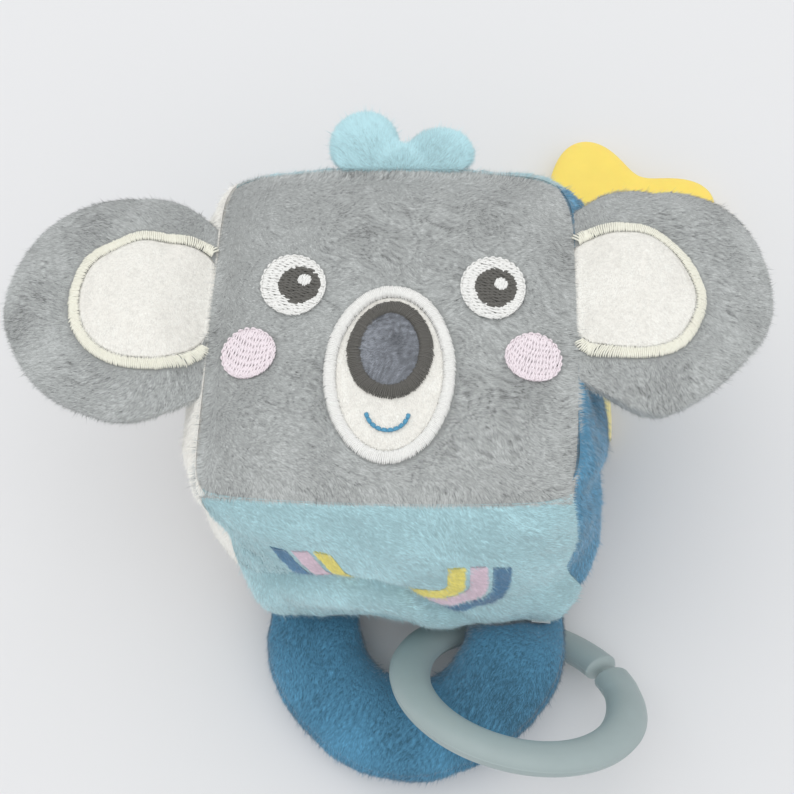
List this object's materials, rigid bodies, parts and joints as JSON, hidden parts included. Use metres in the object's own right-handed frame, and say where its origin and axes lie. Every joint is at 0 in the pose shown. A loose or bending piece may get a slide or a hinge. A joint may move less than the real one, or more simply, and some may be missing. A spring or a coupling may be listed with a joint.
{
  "type": "plush baby toy",
  "caption": "Soft stuffed activity cube lying on its back: koala face, padded flap ears, hair tuft, padded grip handle with an open link ring, star teether, ribbon tag and inner rattle.",
  "frame": {"origin": "on the surface the toy lies on, under the middle of its flat-pressed back panel", "axes": "+Z out of the face and up from the table, +Y towards the hair tuft, +X to the right of the face as it is looked at"},
  "size_m": [0.1955, 0.2072, 0.0924],
  "materials": {
    "plush_grey": "short brushed pile",
    "plush_cream": "short brushed pile",
    "plush_teal": "short brushed pile",
    "plush_blue": "short brushed pile",
    "plush_slate": "short brushed pile",
    "thread_white": "satin stitch",
    "thread_cream": "satin stitch",
    "thread_charcoal": "satin stitch",
    "thread_blue": "satin stitch",
    "thread_pink": "satin stitch",
    "cloth_yellow": "printed short pile",
    "cloth_pink": "printed short pile",
    "cloth_blue": "printed short pile",
    "ring_plastic": "moulded, satin",
    "star_rubber": "matte silicone",
    "ribbon_yellow": "satin ribbon",
    "label_white": "woven label, blank",
    "filling": "soft foam and fibre",
    "rattle_shell": "moulded",
    "rattle_bead": "moulded"
  },
  "bodies": {
    "cube": {"foam_core": "filling", "foam_plug": "filling", "panel_front": "plush_grey", "panel_back": "plush_grey", "panel_left": "plush_cream", "panel_right": "plush_blue", "panel_top": "plush_teal", "panel_bottom": "plush_teal", "rattle_upper_half": "rattle_shell", "rattle_lower_half": "rattle_shell", "muzzle_patch": "plush_cream", "muzzle_border": "thread_white", "nose_patch": "plush_slate", "nose_border": "thread_charcoal", "mouth_stitch": "thread_blue", "eye_white_left": "thread_white", "eye_white_right": "thread_white", "pupil_left": "thread_charcoal", "pupil_right": "thread_charcoal", "eye_glint_left": "thread_white", "eye_glint_right": "thread_white", "cheek_left": "thread_pink", "cheek_right": "thread_pink", "rainbow_yellow": "cloth_yellow", "rainbow_pink": "cloth_pink", "rainbow_blue": "cloth_blue"},
    "ear_left": {"ear_front_left": "plush_grey", "ear_back_left": "plush_grey", "ear_filling_left": "filling", "ear_patch_left": "plush_cream", "ear_border_left": "thread_cream"},
    "ear_right": {"ear_front_right": "plush_grey", "ear_back_right": "plush_grey", "ear_filling_right": "filling", "ear_patch_right": "plush_cream", "ear_border_right": "thread_cream"},
    "tuft": {"tuft_front": "plush_teal", "tuft_back": "plush_teal"},
    "handle": {"handle_upper": "plush_blue", "handle_lower": "plush_blue", "handle_filling": "filling", "care_label": "label_white"},
    "link": {"link_ring": "ring_plastic"},
    "loop": {"star_loop": "ribbon_yellow"},
    "star": {"star_teether": "star_rubber"},
    "tag": {"ribbon_tag": "ribbon_yellow"},
    "bead_1": {"rattle_bead_1": "rattle_bead"},
    "bead_2": {"rattle_bead_2": "rattle_bead"},
    "bead_3": {"rattle_bead_3": "rattle_bead"}
  },
  "joints": [
    {"name": "ear_left_fold", "type": "hinge", "parent": "cube", "child": "ear_left", "pos_m": [-0.04617, 0.006, 0.08548], "axis": [0, 1, 0], "range_deg": [-32, 75], "stiffness_Nm_per_rad": 0.05},
    {"name": "ear_right_fold", "type": "hinge", "parent": "cube", "child": "ear_right", "pos_m": [0.0461, 0.011, 0.08543], "axis": [0, -1, 0], "range_deg": [-16, 75], "stiffness_Nm_per_rad": 0.05},
    {"name": "tuft_fold", "type": "hinge", "parent": "cube", "child": "tuft", "pos_m": [0, 0.0462, 0.0855], "axis": [1, 0, 0], "range_deg": [-18, 60], "stiffness_Nm_per_rad": 0.03},
    {"name": "handle_fold", "type": "hinge", "parent": "cube", "child": "handle", "pos_m": [0.0049, -0.04552, 0.008], "axis": [-1, 0, 0], "range_deg": [-60, 5]},
    {"name": "link_spin", "type": "hinge", "parent": "handle", "child": "link", "pos_m": [0.0325, -0.0732, 0.02425], "axis": [0.1626, 0.6792, 0.7157], "continuous": true},
    {"name": "loop_fold", "type": "hinge", "parent": "cube", "child": "loop", "pos_m": [0.04773, 0.0386, 0.008], "axis": [0.9041, -0.4274, 0], "range_deg": [-45, 10]},
    {"name": "star_swing", "type": "hinge", "parent": "loop", "child": "star", "pos_m": [0.04843, 0.0386, 0.005], "axis": [0, 0, 1], "range_deg": [-25, 25]},
    {"name": "tag_fold", "type": "hinge", "parent": "cube", "child": "tag", "pos_m": [0.04908, 0.012, 0.008], "axis": [0, -1, 0], "range_deg": [-30, 30], "stiffness_Nm_per_rad": 0.005},
    {"name": "bead_1_slide", "type": "slide", "parent": "cube", "child": "bead_1", "axis": [0, 0, 1], "range_m": [0, 0.0185]},
    {"name": "bead_2_slide", "type": "slide", "parent": "cube", "child": "bead_2", "axis": [0, 0, 1], "range_m": [0, 0.0185]},
    {"name": "bead_3_slide", "type": "slide", "parent": "cube", "child": "bead_3", "axis": [0, 0, 1], "range_m": [0, 0.0185]}
  ]
}
